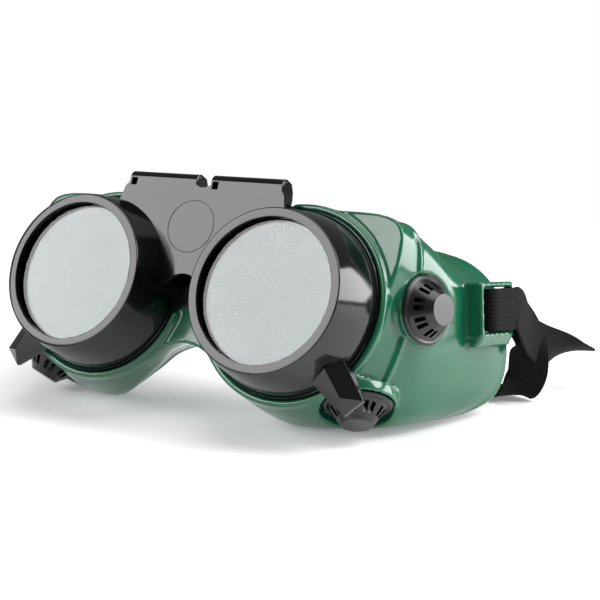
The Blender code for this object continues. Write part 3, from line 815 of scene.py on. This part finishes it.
def vent_cap(name, side, centre, outward):
    """A push-in cap: bead, cone with paired slots, flat button, and the stem inside."""
    stem = VENT_HOLE_R - 0.3
    top = VENT_H
    profile = [(0, top), (5.0, top), (5.3, top - 0.3), (5.5, top - 0.7), (9.5, 2.1), (9.8, 1.9),
               (10.0, 2.0), (10.5, 2.1), (11.0, 1.9), (11.35, 1.4), (11.3, 0.8), (11.0, 0.6),
               (stem, 0.6), (stem, -3.1), (stem - 0.3, -3.4), (stem - 1.2, -3.4),
               (stem - 1.2, 1.0), (4.0, top - 1.8), (0, top - 1.8)]
    bm = lathe([(r, -h) for r, h in profile], steps=96)
    bmesh.ops.transform(bm, verts=bm.verts, matrix=Matrix.Rotation(math.radians(-90), 4, "X"))
    bmesh.ops.recalc_face_normals(bm, faces=bm.faces)
    slots = []
    for k in range(VENT_SLOT_PAIRS):
        for step in (-VENT_SLOT_TURN, VENT_SLOT_TURN):
            turn = Matrix.Rotation(math.radians(360 * k / VENT_SLOT_PAIRS + step), 4, "Z")
            slots.append(block(VENT_SLOT, turn @ Matrix.Translation(VENT_SLOT_AT)))
    centre, outward = vent_axis(side, centre, outward)
    turned_to(bm, centre, outward)
    cutter = turned_to(merged(*slots), centre, outward)
    piece(name, bm, CAP_BLACK, "mask", name, cuts=[cutter], sharp=28)


# ---------------------------------------------------------------- fixed lens carrier

def carrier():
    """The fixed black part: a lens tube and a hinge arm on each side, and the web between."""
    for side, letter in SIDES:
        x = side * CUP_X
        tube_profile = [(TUBE_OPEN_R, FLANGE_Y0), (FLANGE_R, FLANGE_Y0), (FLANGE_R, FLANGE_Y1),
                        (TUBE_R, FLANGE_Y1), (TUBE_R, TUBE_BACK_Y), (SEAT_R, TUBE_BACK_Y),
                        (SEAT_R, 19.9), (TUBE_OPEN_R, 19.9)]
        nodes = ("lens_carrier",) if side > 0 else ()
        piece(f"lens_tube_{letter}", lathe(eased(tube_profile), x), BLACK, "mask", *nodes)
        low, high = sorted((side * 9.5, side * 19.5))
        arm = [(14.4, PIN_Z), (14.4, 28.5), (FLANGE_Y0 + 0.2, 25.5), (FLANGE_Y1 - 0.2, 25.5),
               (FLANGE_Y1 - 0.2, 28.6), (17.1, 30.8), (17.1, PIN_Z)]
        bore = rod((side * 6, PIN_Y, PIN_Z), (side * 28, PIN_Y, PIN_Z), PIN_R + 0.1, 48)
        knuckle = rod((side * 8.0, PIN_Y, PIN_Z), (side * 26.4, PIN_Y, PIN_Z), KNUCKLE_R, 48)
        piece(f"hinge_arm_{letter}", prism(arm, "x", low, high), BLACK, "mask",
              joins=[knuckle], cuts=[bore], bevel=EDGE_BEVEL)
    web = [(-27, 30.2), (-27, 22), (-12, 8), (-9.5, -4), (-6.5, -6.5), (0, -4.0), (6.5, -6.5),
           (9.5, -4), (12, 8), (27, 22), (27, 30.2)]
    openings = [rod((side * CUP_X, 10, 0), (side * CUP_X, 30, 0), 27.0) for side, _ in SIDES]
    piece("carrier_web", prism(web, "y", FLANGE_Y0 + 0.1, FLANGE_Y1 - 0.1), BLACK, "mask",
          cuts=openings, bevel=EDGE_BEVEL)


def lens_stack(side, letter):
    """Everything that lies in a cup and in the tube behind it, front to back."""
    x = side * CUP_X

    def disc(name, y, thickness, look, body):
        profile = [(0, y), (LENS_R - 0.3, y), (LENS_R, y + 0.3), (LENS_R, y + thickness - 0.3),
                   (LENS_R - 0.3, y + thickness), (0, y + thickness)]
        piece(name, lathe(profile, x), look, body, name)

    def ring(name, inner, y, depth, look, body, notches=0):
        profile = eased([(inner, y), (LENS_R, y), (LENS_R, y + depth), (inner, y + depth)], 0.2)
        cuts = []
        for k in range(notches):
            a = 2 * math.pi * (k + 0.5) / notches
            middle = (x + (inner + 0.6) * math.cos(a), y + depth, (inner + 0.6) * math.sin(a))
            cuts.append(block(NOTCH_SIZE, Matrix.Translation(middle)
                              @ Matrix.Rotation(-a, 4, "Y")))
        piece(name, lathe(profile, x), look, body, name, cuts=cuts)

    y = LIP_BACK_Y + LAY_GAP
    disc(f"cover_lens_{letter}", y, COVER_LENS_T, CLEAR, "flip_front")
    y += COVER_LENS_T + LAY_GAP
    disc(f"shade_lens_{letter}", y, SHADE_LENS_T, SHADE, "flip_front")
    y += SHADE_LENS_T + LAY_GAP
    ring(f"cup_gasket_{letter}", CUP_GASKET_BORE_R, y, CUP_GASKET_T, RUBBER, "flip_front")
    y += CUP_GASKET_T + LAY_GAP
    ring(f"cup_ring_{letter}", CUP_RING_BORE_R, y, CUP_RING_T, BLACK, "flip_front",
         RING_NOTCHES)
    y = FLANGE_Y1 + 0.1
    ring(f"clear_gasket_{letter}", CLEAR_GASKET_BORE_R, y, CLEAR_GASKET_T, RUBBER, "mask")
    y += CLEAR_GASKET_T + LAY_GAP
    disc(f"clear_lens_{letter}", y, CLEAR_LENS_T, CLEAR, "mask")
    y += CLEAR_LENS_T + LAY_GAP
    ring(f"clear_ring_{letter}", CLEAR_RING_BORE_R, y, CLEAR_RING_T, BLACK, "mask",
         RING_NOTCHES)


# ---------------------------------------------------------------- flip front

def cup(side, letter):
    """A flared lens cup, with its rim lip, lens seat and skirt."""
    slope = (CUP_BACK_R - RIM_R) / CUP_DEPTH
    profile = [(RIM_OPEN_R, 0), (RIM_R, 0), (RIM_R + slope * 9, 9), (CUP_BACK_R, CUP_DEPTH),
               (29.0, CUP_DEPTH), (28.6, 16.2), (SEAT_R, 12.6), (SEAT_R, LIP_BACK_Y),
               (RIM_OPEN_R, LIP_BACK_Y)]
    nodes = ("flip_frame",) if side > 0 else ()
    piece(f"lens_cup_{letter}", lathe(eased(profile, 0.35), side * CUP_X, 160), BLACK,
          "flip_front", *nodes)


def cover_outline(inset, steps=16):
    """Front and top (y, z) of a hinge cover: a flat face that rounds over into the top."""
    radius = COVER_TOP_R - inset
    found = []
    for k in range(steps + 1):
        a = math.radians(180 - 90 * k / steps)
        found.append((PLATE_Y0 + COVER_TOP_R + radius * math.cos(a),
                      COVER_FLAT_Z + radius * math.sin(a)))
    found.append((COVER_BACK_Y, COVER_FLAT_Z + radius - 0.5))
    return found


def hinge_cover(side):
    """Cover over a knuckle, with its two end walls."""
    foot = 32.0
    profile = [(PLATE_Y0, foot)] + cover_outline(0.0)
    profile += cover_outline(COVER_WALL)[::-1] + [(PLATE_Y0 + COVER_WALL, foot)]
    low, high = sorted((side * COVER_GAP_HALF_X, side * COVER_HALF_X))
    shapes = [prism(profile, "x", low, high)]
    for x0, x1, foot_z in ((side * 28.0, side * COVER_HALF_X, 26.5),
                           (side * COVER_GAP_HALF_X, side * 5.0, 31.0)):
        outline = [(PLATE_Y0 + 0.1, foot_z)] + cover_outline(0.1)
        outline += [(19.3, COVER_FLAT_Z), (19.9, PIN_Z), (19.9, 32.4), (18.05, 31.0),
                    (18.05, foot_z)]
        start, end = sorted((x0, x1))
        shapes.append(prism(outline, "x", start + 0.02, end - 0.02))
    return shapes


def plate():
    """Plate between the cups with its hinge covers, arched over the nose, and a plain ring."""
    notch_r = 8.5
    notch_z = -3.7
    notch = []
    for k in range(25):
        a = math.radians(165 - 150 * k / 24)
        notch.append((notch_r * math.cos(a), notch_z + notch_r * math.sin(a)))
    outline = [(-30.0, PIN_Z + 1), (-31.6, 33.5), (-33.4, 26.0), (-25.0, 10.0), (-12.0, -2.5)]
    outline += notch
    outline += [(12.0, -2.5), (25.0, 10.0), (33.4, 26.0), (31.6, 33.5), (30.0, PIN_Z + 1),
                (COVER_GAP_HALF_X, PIN_Z + 1), (0.9, PIN_Z), (-0.9, PIN_Z),
                (-COVER_GAP_HALF_X, PIN_Z + 1)]
    joins = []
    cuts = []
    for side, _ in SIDES:
        joins += hinge_cover(side)
        cuts.append(rod((side * CUP_X, 5, 0), (side * CUP_X, 20, 0), 27.2))
        low, high = sorted((side * 5.0, side * 28.0))
        cuts.append(rod((low, PIN_Y, PIN_Z), (high, PIN_Y, PIN_Z), KNUCKLE_R + 0.5, 48))
    cuts.append(rod((-29.2, PIN_Y, PIN_Z), (29.2, PIN_Y, PIN_Z), PIN_R + 0.1, 48))
    low, high = WINDOW_Z
    for x in WINDOW_X:
        window = [(x, low), (x + WINDOW_W, low), (x + WINDOW_W, high), (x, high)]
        cuts.append(prism(window, "y", PLATE_Y0 - 2, PIN_Y - PIN_R - 0.35))
    piece("flip_plate", prism(outline, "y", PLATE_Y0, PLATE_Y1), BLACK, "flip_front",
          joins=joins, cuts=cuts, bevel=EDGE_BEVEL)
    ring = [(8.75, PLATE_Y0 - 0.16), (9.1, PLATE_Y0 - 0.16), (9.2, PLATE_Y0 + 0.3),
            (8.65, PLATE_Y0 + 0.3)]
    bm = lathe(eased(ring, 0.08, 3), -1.5)
    bmesh.ops.translate(bm, vec=(0, 0, 21.0), verts=bm.verts)
    piece("plate_ring", bm, BLACK, "flip_front")


def lift_tab(side, letter):
    """Faceted finger tab on the lower outer side of a cup."""
    root_r = 27.5
    tip_r = 43.0
    angle = math.radians(-45)
    radial = Vector((math.cos(angle), 0, math.sin(angle)))
    across = Vector((-math.sin(angle), 0, math.cos(angle)))
    centre = Vector((CUP_X, 0, 0))
    corners = []
    for half in (-1, 1):
        corners += [(root_r, 7.0 * half, 17.9), (root_r, 6.6 * half, 13.5),
                    (tip_r, 3.9 * half, 17.9), (tip_r, 3.9 * half, 16.2)]
    corners += [(root_r, 1.0, 9.5), (39.0, -0.9, 12.6)]
    shape = hull([centre + radial * out + across * over + Vector((0, y, 0))
                  for out, over, y in corners])
    inside = rod((side * CUP_X, 5, 0), (side * CUP_X, 25, 0), 29.2)
    piece(f"lift_tab_{letter}", shape if side > 0 else mirrored(shape), BLACK, "flip_front",
          cuts=[inside], bevel=0.3)


# ---------------------------------------------------------------- strap

def cup_to_bench(point):
    """A cup-frame point in the upright millimetre frame that stands on the bench."""
    x, y, z = point
    c, s = math.cos(REST_TILT), math.sin(REST_TILT)
    rest_height = PIN.z / MM - (PIN_Z * c - PIN_Y * s)
    return Vector((x, y * c + z * s, z * c - y * s + rest_height))


def strap_half_route():
    """Right half of the strap in the bench frame: centre points and width directions."""
    route = [
        ((0, 152, 0.8), (0, 1, 0)),
        ((26, 148, 0.8), (0.3, 1, 0)),
        ((50, 133, 0.8), (0.6, 0.8, 0)),
        ((66, 109, 0.8), (0.75, 0.66, 0)),
        ((79, 92, 0.9), (0.6, 0.8, 0)),
        ((88.5, 87, 3.0), (0.80, 0.58, 0.05)),
        ((93.0, 87.5, 9.0), (0.90, 0.40, 0.12)),
        ((93.9, 87.0, 17), (0.75, 0.38, 0.55)),
        ((93.7, 85.4, 25.4), (0.1, 0.4, 0.93)),
    ]
    centre, along, up, out = lug_axes()
    upright = cup_to_bench(centre + up) - cup_to_bench(centre)
    round_post = [(15.0, -2.3), (9.5, -2.15), (0.0, -2.15), (-4.2, -1.9), (-5.8, 0.0),
                  (-4.2, 2.1), (1.0, 2.4), (8.0, 2.5), (12.0, 2.4)]
    for a, o in round_post:
        route.append((tuple(cup_to_bench(centre + along * a + out * o)), tuple(upright)))
    route += [
        ((94.6, 80.0, 29.5), (-0.1, 0.6, 0.8)),
        ((95.6, 85.0, 24.3), (0.0, 0.6, 0.8)),
        ((97.3, 92.0, 20.4), (0.2, 0.35, 0.9)),
        ((99.3, 101, 17.4), (0.5, 0.15, 0.8)),
        ((100.6, 110, 15.2), (0.85, 0.0, 0.45)),
        ((101.6, 119, 13.7), (1.0, -0.1, 0.1)),
    ]
    return route


def head_strap():
    """The elastic band: long ribs across its width, rounded selvedges, cut ends."""
    right = strap_half_route()
    left = [((-p[0], p[1], p[2]), (-w[0], w[1], w[2])) for p, w in reversed(right[1:])]
    both = left + right
    centres = smooth_path([p for p, _ in both], 16, closed=False)
    widths = smooth_path([w for _, w in both], 16, closed=False)
    tangents = unit(np.gradient(centres, axis=0))
    across = unit(widths - (widths * tangents).sum(axis=1, keepdims=True) * tangents)
    face = np.cross(tangents, across)
    steps = np.linalg.norm(np.diff(centres, axis=0), axis=1)
    run = np.concatenate([[0], np.cumsum(steps)])
    half = []
    for k in range(STRAP_RIBS * RIB_POINTS + 1):
        u = -1 + 2 * k / (STRAP_RIBS * RIB_POINTS)
        edge = 1 - max(0.0, (abs(u) - 1 + SELVEDGE) / SELVEDGE) ** 2 * 0.75
        swell = 0.92 + 0.08 * math.cos(math.pi * STRAP_RIBS * (u + 1) + math.pi)
        half.append((u * STRAP_W / 2, STRAP_T / 2 * edge * swell))
    section = half + [(u, -n) for u, n in reversed(half)]
    rings = []
    for p, w, n in zip(centres, across, face):
        rings.append([p + w * u + n * v for u, v in section])
    bm = loft(rings)
    bm.verts.index_update()
    layer = bm.loops.layers.uv.new("UVMap")
    for f in bm.faces:
        for loop in f.loops:
            row, col = divmod(loop.vert.index, len(section))
            loop[layer].uv = (section[col][0] * MM, run[row] * MM)
    made = bare_object("elastic_strap", bm)
    shift = PIN.y - (PIN_Y * math.cos(REST_TILT) + PIN_Z * math.sin(REST_TILT)) * MM
    place = Matrix.Translation((0, shift, 0)) @ Matrix.Diagonal((MM, MM, MM, 1))
    finish(made, WEBBING, "mask", "head_strap", matrix=place, sharp=50)


# ---------------------------------------------------------------- build

mask()
for side, letter in SIDES:
    for vent, centre, outward, *_ in VENTS:
        vent_cap(f"vent_cap_{vent}_{letter}", side, centre, outward)
    lens_stack(side, letter)
    cup(side, letter)
    lift_tab(side, letter)
carrier()
plate()
head_strap()
for name in ("hinge_pin", "hinge_spring_washer_L", "hinge_spring_washer_R"):
    frame["nodes"][name].data.materials.clear()
    frame["nodes"][name].data.materials.append(STEEL)


# ---------------------------------------------------------------- floor, light and camera

def floor():
    """A plain pale disc under the goggles."""
    bm = bmesh.new()
    bmesh.ops.create_circle(bm, cap_ends=True, segments=96, radius=0.5)
    made = bare_object("floor", bm)
    made.location.z = -0.0002
    look = new_material("floor_white", roughness=0.9, emission_color=(1, 1, 1, 1),
                        emission_strength=0.2)
    where = coordinates(look)
    tone = blend_colours(look, noise(look, where, 3, 2), (0.88, 0.88, 0.88), (0.9, 0.9, 0.9))
    to_shader(look, tone, "Base Color")
    made.data.materials.append(look)


def softbox(name, place, target, width, height, power):
    """A soft rectangular light at a place, facing a target."""
    data = bpy.data.lights.new(name, "AREA")
    data.shape = "RECTANGLE"
    data.size = width
    data.size_y = height
    data.energy = power
    made = bpy.data.objects.new(name, data)
    made.location = place
    made.rotation_euler = (Vector(target) - Vector(place)).to_track_quat("-Z", "Y").to_euler()
    made.visible_camera = False
    bpy.context.scene.collection.objects.link(made)


def studio():
    """Four soft lights and a dim white room behind a white backdrop."""
    middle = (0, -0.02, 0.04)
    softbox("front_box", (-0.55, -0.85, 0.62), middle, 0.7, 0.6, 8)
    softbox("side_box", (0.95, 0.5, 0.22), middle, 0.9, 0.45, 9)
    softbox("floor_box", (0.5, 0.12, 0.45), (0.28, 0.06, 0.0), 0.3, 0.3, 3)
    softbox("top_box", (0.1, 0.1, 1.1), middle, 0.9, 0.9, 8)
    world = bpy.data.worlds.new("studio")
    bpy.context.scene.world = world
    world.use_nodes = True
    nodes, links = world.node_tree.nodes, world.node_tree.links
    background = nodes["Background"]
    background.inputs["Color"].default_value = (1, 1, 1, 1)
    background.inputs["Strength"].default_value = 0.16
    bright = nodes.new("ShaderNodeBackground")
    bright.inputs["Color"].default_value = (1, 1, 1, 1)
    bright.inputs["Strength"].default_value = 1.0
    path = nodes.new("ShaderNodeLightPath")
    mix = nodes.new("ShaderNodeMixShader")
    links.new(path.outputs["Is Camera Ray"], mix.inputs["Fac"])
    links.new(background.outputs[0], mix.inputs[1])
    links.new(bright.outputs[0], mix.inputs[2])
    links.new(mix.outputs[0], nodes["World Output"].inputs["Surface"])
    bpy.context.scene.view_settings.view_transform = "Standard"


def camera():
    """Looks at the goggles from their front left, a little above the bench."""
    data = bpy.data.cameras.new("camera")
    data.lens = CAMERA_MM
    data.sensor_width = 36
    made = bpy.data.objects.new("camera", data)
    bpy.context.scene.collection.objects.link(made)
    right = Vector(CAMERA_RIGHT)
    down = Vector(CAMERA_DOWN)
    ahead = right.cross(down)
    turn = Matrix((right, -down, -ahead)).transposed()
    place = CUP_TO_ROW @ Vector(CAMERA_AT)
    made.matrix_world = Matrix.LocRotScale(place, (TILT.to_3x3() @ turn).to_quaternion(), None)
    bpy.context.scene.camera = made


floor()
studio()
camera()
